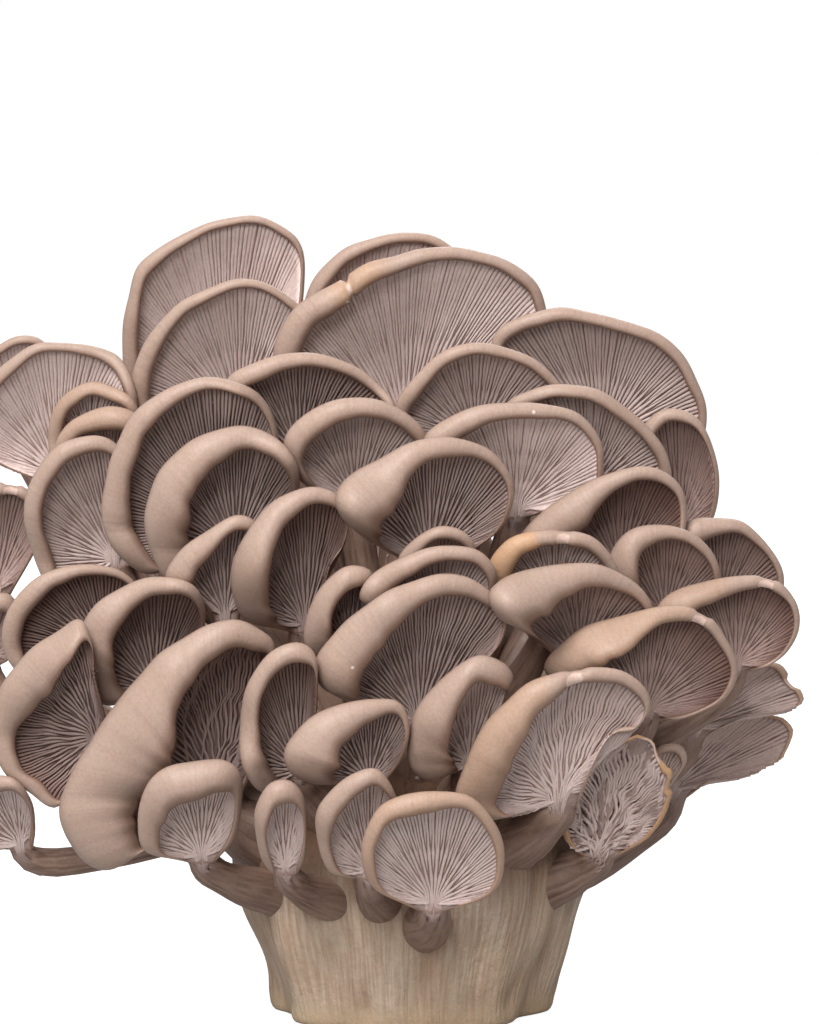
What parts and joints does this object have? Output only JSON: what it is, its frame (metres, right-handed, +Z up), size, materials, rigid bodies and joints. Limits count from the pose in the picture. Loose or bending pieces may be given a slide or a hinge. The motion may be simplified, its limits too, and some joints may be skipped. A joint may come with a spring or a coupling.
{
  "type": "oyster mushroom cluster",
  "caption": "Fan-shaped cluster of fresh oyster mushrooms: gilled caps with thick rolled margins on stems that join in one fused, cut base it stands on.",
  "frame": {"origin": "centre of the flat cut face under the fused base, on the surface the cluster stands on", "axes": "+Z up, +X to the right when the gill side is seen from the front, -Y toward the front, where most gills face"},
  "size_m": [0.2112, 0.1558, 0.1903],
  "materials": {
    "mushroom_flesh": "satin, taupe skin with pale mauve-grey gills",
    "base_flesh": "matt, pale fibrous stem flesh"
  },
  "bodies": {
    "root": {"fused_base": "base_flesh", "mushroom_c0": "mushroom_flesh", "mushroom_a1": "mushroom_flesh", "mushroom_b0": "mushroom_flesh", "mushroom_a2": "mushroom_flesh", "mushroom_c1": "mushroom_flesh", "mushroom_b1": "mushroom_flesh", "mushroom_h1": "mushroom_flesh", "mushroom_p2": "mushroom_flesh", "mushroom_p1": "mushroom_flesh", "mushroom_c5": "mushroom_flesh", "mushroom_c2": "mushroom_flesh", "mushroom_g1": "mushroom_flesh", "mushroom_e1": "mushroom_flesh", "mushroom_c3": "mushroom_flesh", "mushroom_x1": "mushroom_flesh", "mushroom_h2": "mushroom_flesh", "mushroom_g3": "mushroom_flesh", "mushroom_j2": "mushroom_flesh", "mushroom_e2": "mushroom_flesh", "mushroom_c4": "mushroom_flesh", "mushroom_g2": "mushroom_flesh", "mushroom_d1": "mushroom_flesh", "mushroom_d2": "mushroom_flesh", "mushroom_t2": "mushroom_flesh", "mushroom_t1": "mushroom_flesh", "mushroom_i1": "mushroom_flesh", "mushroom_j1": "mushroom_flesh", "mushroom_o2": "mushroom_flesh", "mushroom_l1": "mushroom_flesh", "mushroom_f1": "mushroom_flesh", "mushroom_k1": "mushroom_flesh", "mushroom_r3": "mushroom_flesh", "mushroom_s1": "mushroom_flesh", "mushroom_r2": "mushroom_flesh", "mushroom_r1": "mushroom_flesh", "mushroom_k2": "mushroom_flesh", "mushroom_m1": "mushroom_flesh", "mushroom_u1": "mushroom_flesh", "mushroom_u3": "mushroom_flesh", "mushroom_q1": "mushroom_flesh", "mushroom_o1": "mushroom_flesh", "mushroom_n1": "mushroom_flesh", "mushroom_u2": "mushroom_flesh", "mushroom_v1": "mushroom_flesh", "mushroom_v4": "mushroom_flesh", "mushroom_v2": "mushroom_flesh", "mushroom_v3": "mushroom_flesh", "mushroom_w2": "mushroom_flesh", "mushroom_w1": "mushroom_flesh", "mushroom_w3": "mushroom_flesh", "mushroom_y1": "mushroom_flesh", "mushroom_rear_1": "mushroom_flesh", "mushroom_rear_2": "mushroom_flesh", "mushroom_rear_3": "mushroom_flesh", "mushroom_rear_4": "mushroom_flesh", "mushroom_rear_5": "mushroom_flesh", "mushroom_rear_6": "mushroom_flesh", "mushroom_rear_7": "mushroom_flesh", "mushroom_rear_8": "mushroom_flesh"}
  },
  "joints": []
}
